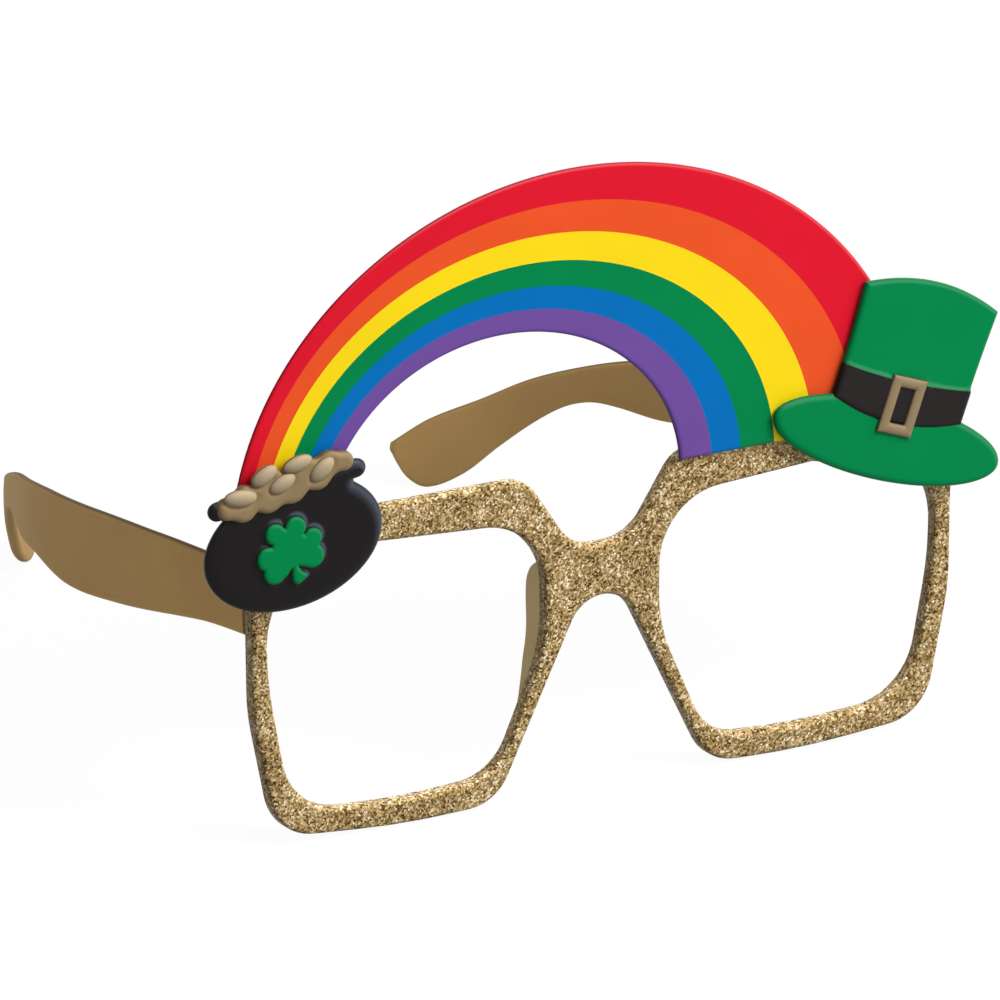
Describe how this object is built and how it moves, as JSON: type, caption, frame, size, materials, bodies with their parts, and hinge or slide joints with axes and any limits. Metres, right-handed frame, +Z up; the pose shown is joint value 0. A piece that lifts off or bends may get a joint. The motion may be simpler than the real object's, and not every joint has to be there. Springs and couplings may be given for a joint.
{
  "type": "novelty eyeglass frame",
  "caption": "Square glitter spectacle frame without lenses, with folding temples, a rainbow arch, a pot of gold and a tall green hat on top.",
  "frame": {"origin": "under the middle of the object's box, on the plane that the rims and both ear ends rest on", "axes": "+X to the viewer's right across the front, +Y from the front towards the ears, +Z up"},
  "size_m": [0.1636, 0.1438, 0.118],
  "materials": {
    "gold_glitter": "moulded plastic covered in fine gold glitter under clear lacquer",
    "gold_plastic": "matt antique gold paint on moulded plastic",
    "screw_steel": "turned steel screw",
    "backing_plastic": "plain black moulded plastic",
    "band_red": "satin red",
    "band_orange": "satin orange",
    "band_yellow": "satin yellow",
    "band_green": "satin green",
    "band_blue": "satin blue",
    "band_purple": "satin purple",
    "pot_black": "satin black with rounded edges",
    "heap_gold": "matt bronze gold",
    "coin_gold": "satin pale gold",
    "leaf_green": "satin green",
    "hat_green": "satin green",
    "band_black": "satin black",
    "buckle_bronze": "satin bronze gold"
  },
  "bodies": {
    "front": {"front_frame": "gold_glitter", "nose_wing_left": "gold_plastic", "nose_wing_right": "gold_plastic", "hinge_bracket_left": "gold_plastic", "hinge_bracket_right": "gold_plastic", "hinge_screw_left": "screw_steel", "hinge_screw_right": "screw_steel", "rainbow_backing": "backing_plastic", "rainbow_red": "band_red", "rainbow_orange": "band_orange", "rainbow_yellow": "band_yellow", "rainbow_green": "band_green", "rainbow_blue": "band_blue", "rainbow_purple": "band_purple", "pot_body": "pot_black", "coin_heap": "heap_gold", "coin_1": "coin_gold", "coin_2": "coin_gold", "coin_3": "coin_gold", "coin_4": "coin_gold", "coin_5": "coin_gold", "shamrock": "leaf_green", "hat_crown": "hat_green", "hat_brim": "hat_green", "hat_band": "band_black", "hat_buckle": "buckle_bronze"},
    "left_temple": {"temple_left": "gold_plastic", "temple_knuckle_left": "gold_plastic"},
    "right_temple": {"temple_right": "gold_plastic", "temple_knuckle_right": "gold_plastic"}
  },
  "joints": [
    {"name": "left_temple_fold", "type": "hinge", "parent": "front", "child": "left_temple", "pos_m": [-0.06532, -0.06052, 0.04962], "axis": [0, -0.0676, -0.9977], "range_deg": [0, 74]},
    {"name": "right_temple_fold", "type": "hinge", "parent": "front", "child": "right_temple", "pos_m": [0.06838, -0.06052, 0.04962], "axis": [0, 0.0676, 0.9977], "range_deg": [0, 60]}
  ]
}
